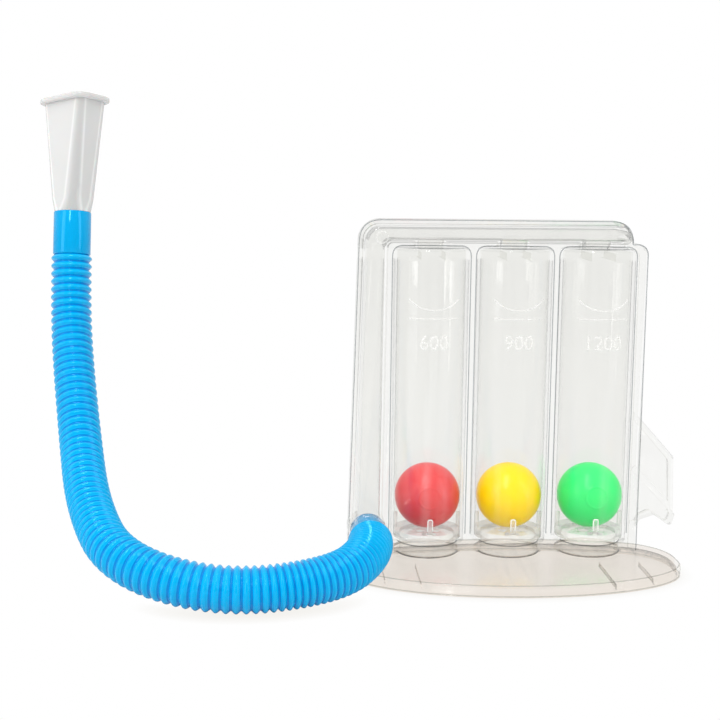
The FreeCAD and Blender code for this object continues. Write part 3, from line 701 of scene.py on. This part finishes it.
# Glossy blue polyethylene with painted shade and light: darker in the valleys between the rings,
# and a lighter painted line on their flanks where the far side's rings show through the thin wall.
ringed_blue, tree, body = glossy_polyethylene("glossy_blue_polyethylene", PLAIN_BLUE)
rings_seen = node(tree, "ShaderNodeAttribute", attribute_name="crest")
painted_ring_blue = node(tree, "ShaderNodeValToRGB", [("Fac", rings_seen.outputs["Fac"])])
set_bands(painted_ring_blue.color_ramp, RING_PAINTED_SHADE_AND_LIGHT)
tree.links.new(painted_ring_blue.outputs["Color"], body.inputs["Base Color"])
finish_blue(hose, ringed_blue, "hose")

# The plain ends: the lower one lies level in the port, and the upper one is the cuff.
LOWER_END_RADIUS, LOWER_END_BORE, LOWER_END_LENGTH = 6.85 * MM, 5.6 * MM, 15.0 * MM
CUFF_RADIUS, CUFF_LENGTH = 7.75 * MM, 18.0 * MM
END_ROUND = 0.4 * MM
END_AROUND = 96
SHARP_END = math.radians(50)
PORT_MOUTH, HOSE_TOP = np.array(HOSE_ROUTE[0]), np.array(HOSE_ROUTE[-1])
LONG_SIDE = (-0.727, 0.687, 0.0)
hose_axis = HOSE_TOP - np.array(HOSE_ROUTE[-2])
hose_axis /= np.linalg.norm(hose_axis)
long_side = np.array(LONG_SIDE)
long_side -= long_side.dot(hose_axis) * hose_axis
long_side /= np.linalg.norm(long_side)
short_side = np.cross(hose_axis, long_side)


def on_hose_top(across, up):
    """Places given across and up from the hose's upper end, in the object's own frame."""
    return (HOSE_TOP + across[..., :1] * long_side + across[..., 1:2] * short_side
            + up[..., None] * hose_axis)


def plain_end(outer, bore, length):
    """Across and up places of a plain hose end: a profile of radius and height with rounded edges,
    carried round."""
    cut, slight = END_ROUND, 0.3 * END_ROUND
    profile = np.array([(bore, 0), (outer - cut, 0), (outer - slight, slight), (outer, cut),
                        (outer, length / 2), (outer, length - cut),
                        (outer - slight, length - slight), (outer - cut, length), (bore, length)])
    turn = np.linspace(0, 2 * np.pi, END_AROUND, endpoint=False)[None, :]
    radius, up = profile.T[:, :, None]
    return np.stack([radius * np.cos(turn), radius * np.sin(turn)], axis=2), up + 0 * turn


plain_blue, tree, body = glossy_polyethylene("plain_blue_polyethylene", PLAIN_BLUE)
across, up = plain_end(LOWER_END_RADIUS, LOWER_END_BORE, LOWER_END_LENGTH)
level = np.stack([across[..., 0], up, -across[..., 1]], axis=2)
lower_end = skin("lower_end", PORT_MOUTH + level, closed=True)
across, up = plain_end(CUFF_RADIUS, HOSE_BORE_RADIUS, CUFF_LENGTH)
cuff = skin("cuff", on_hose_top(across, up), closed=True)
for piece, node_name in ((lower_end, "hose_end_lower"), (cuff, "hose_end_upper")):
    piece.data.set_sharp_from_angle(angle=SHARP_END)
    finish_blue(piece, plain_blue, node_name)


# Mouthpiece: milky polypropylene, moulded in one piece. It widens from a round foot to an oblong
# mouth with a lip for the teeth, and its spigot seats in the cuff. Its sizes are in millimetres:
# length, width and corner radius of three sections, then heights and walls.
MOUTH_FOOT, MOUTH_SHOULDER, MOUTH_TOP = (15.0, 15.0, 7.48), (16.2, 14.4, 5.5), (25.4, 14.8, 3.6)
FOOT_EDGE_H, MOUTH_SHOULDER_H, MOUTH_H = 0.4, 5.0, 46.0
MOUTH_LIP, MOUTH_LIP_H = 2.1, 2.2
LIP_PROFILE = ((0.15, 0.0), (0.7, 0.0), (0.93, 0.12), (1, 0.35), (1, 0.65), (0.93, 0.88),
               (0.7, 1.0))
MOUTH_WALL, SMALLEST_CORNER = 1.4, 0.6
SPIGOT_RADIUS, SPIGOT_LENGTH, SPIGOT_FLAT = 6.3, 12.0, 0.01
MOUTH_AROUND = 96
CORNER = np.arange(MOUTH_AROUND) // (MOUTH_AROUND // 4)
CORNER_SHARE = np.arange(MOUTH_AROUND) % (MOUTH_AROUND // 4) / (MOUTH_AROUND // 4 - 1)
SHARP_LIP = math.radians(40)


def oblong(length, width, radius, up):
    """Rounded rectangle across the hose's axis, its points gathered in the four corners."""
    angle = (CORNER_SHARE + CORNER) * np.pi / 2
    middle = (CORNER + 0.5) * np.pi / 2
    x = np.sign(np.cos(middle)) * (length / 2 - radius) + radius * np.cos(angle)
    y = np.sign(np.sin(middle)) * (width / 2 - radius) + radius * np.sin(angle)
    return np.stack([x, y, np.full(MOUTH_AROUND, up)], axis=1)


def pipe_ring(radius, up):
    """Nearly round section of the spigot."""
    return oblong(2 * radius, 2 * radius, radius - SPIGOT_FLAT, up)


def mouth_ring(share, inset, up):
    """Section of the tapering body, from the shoulder at share 0 to the mouth at share 1."""
    low, high = np.array(MOUTH_SHOULDER), np.array(MOUTH_TOP)
    length, width, radius = low + share * (high - low) - np.array((2, 2, 1)) * inset
    return oblong(length, width, max(radius, SMALLEST_CORNER), up)


taper, inner_taper = MOUTH_H - MOUTH_SHOULDER_H, MOUTH_H + MOUTH_LIP_H - MOUTH_SHOULDER_H
outside = [oblong(*MOUTH_FOOT, 0.0), oblong(*MOUTH_FOOT, FOOT_EDGE_H)]
outside += [mouth_ring(s, 0, MOUTH_SHOULDER_H + s * taper) for s in np.linspace(0, 1, 48)]
lip = [mouth_ring(1, -MOUTH_LIP * out, MOUTH_H + MOUTH_LIP_H * up) for out, up in LIP_PROFILE]
inside = [mouth_ring(s, MOUTH_WALL, MOUTH_SHOULDER_H + s * inner_taper)
          for s in np.linspace(1, 0, 24)]
spigot = [pipe_ring(SPIGOT_RADIUS - MOUTH_WALL, up) for up in (MOUTH_WALL, 0.0, -SPIGOT_LENGTH)]
spigot += [pipe_ring(SPIGOT_RADIUS, up) for up in (-SPIGOT_LENGTH, 0.0)]
rings = np.array(outside + lip + inside + spigot) * MM

# The moulding gate leaves a small oval dent near the foot of one corner.
DENT_DEPTH, DENT_UP, DENT_HALF_HEIGHT = 0.5 * MM, 7.5 * MM, 2.6 * MM
DENT_CORNER, DENT_PLACE, DENT_HALF_WIDTH = 1, 0.82, 0.09
wall = rings[:len(outside)]
dent = np.exp(-((CORNER_SHARE - DENT_PLACE) / DENT_HALF_WIDTH) ** 2) * (CORNER == DENT_CORNER)
dent = DENT_DEPTH * np.exp(-((wall[..., 2] - DENT_UP) / DENT_HALF_HEIGHT) ** 4) * dent
wall[..., :2] *= (1 - dent / np.linalg.norm(wall[..., :2], axis=2))[..., None]
mouthpiece = skin("mouthpiece_body", on_hose_top(rings[..., :2], rings[..., 2] + CUFF_LENGTH),
                  closed=True)
mouthpiece.data.set_sharp_from_angle(angle=SHARP_LIP)

# Painted light and shade: a lighter painted highlight line along both sides of each corner, and
# painted shade on the corner between them.
PAINTED_HIGHLIGHT_LINES, PAINTED_HIGHLIGHT_WIDTH = (0.1, 0.9), 0.08
PAINTED_CORNER_SHADE, PAINTED_CORNER_SHADE_WIDTH = 0.07, 0.22
lines = sum(np.exp(-((CORNER_SHARE - place) / PAINTED_HIGHLIGHT_WIDTH) ** 2) for place in PAINTED_HIGHLIGHT_LINES)
painted_shade = PAINTED_CORNER_SHADE * np.exp(-((CORNER_SHARE - 0.5) / PAINTED_CORNER_SHADE_WIDTH) ** 2)
elsewhere = np.full(MOUTH_AROUND * (len(rings) - len(outside)), 0.5)
painted_light_and_shade = np.concatenate([np.tile(0.5 + 0.5 * lines - painted_shade, len(outside)), elsewhere])
painted_corner_light = mouthpiece.data.attributes.new("painted_corner_light", "FLOAT", "POINT")
painted_corner_light.data.foreach_set("value", painted_light_and_shade.astype(np.float32))

# Milky polypropylene: half clear where it faces the eye, with the painted highlight lines and the
# painted corner shade in its greys.
# The greys run from painted corner shade through the plain colour to the painted highlight lines.
MOUTH_PAINTED_GREYS = ((0, "#B8B8B7"), (0.5, "#CDCDCC"), (1, "#E4E4E3"))
MOUTH_THROUGH = "#DADBDA"
milky, tree = material("milky_polypropylene")
place = node(tree, "ShaderNodeTexCoord")
cloud = node(tree, "ShaderNodeTexNoise", [("Vector", place.outputs["Object"])], Scale=150.0,
             Detail=3.0)
gloss = node(tree, "ShaderNodeMapRange", [("Value", cloud.outputs[0])], To_Min=0.14, To_Max=0.24)
painted_corners = node(tree, "ShaderNodeAttribute", attribute_name="painted_corner_light")
milk_and_painted_light = node(tree, "ShaderNodeValToRGB", [("Fac", painted_corners.outputs["Fac"])])
set_bands(milk_and_painted_light.color_ramp, MOUTH_PAINTED_GREYS)
body = node(tree, "ShaderNodeBsdfPrincipled",
            [("Base Color", milk_and_painted_light.outputs["Color"]), ("Roughness", gloss.outputs[0])],
            IOR=1.49, Subsurface_Weight=0.1, Subsurface_Scale=4 * MM)
slant = node(tree, "ShaderNodeLayerWeight", Blend=0.5)
clearness = node(tree, "ShaderNodeMapRange", [("Value", slant.outputs["Facing"])], From_Max=0.6,
                 To_Min=0.35, To_Max=0.06)
through = node(tree, "ShaderNodeBsdfTransparent", Color=linear(MOUTH_THROUGH))
seen = node(tree, "ShaderNodeMixShader", [(0, clearness.outputs[0]), (1, body.outputs[0]),
                                          (2, through.outputs[0])])
node(tree, "ShaderNodeOutputMaterial", [("Surface", seen.outputs[0])])
mouthpiece.data.materials.append(milky)
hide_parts("mouthpiece")
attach(mouthpiece, "housing")
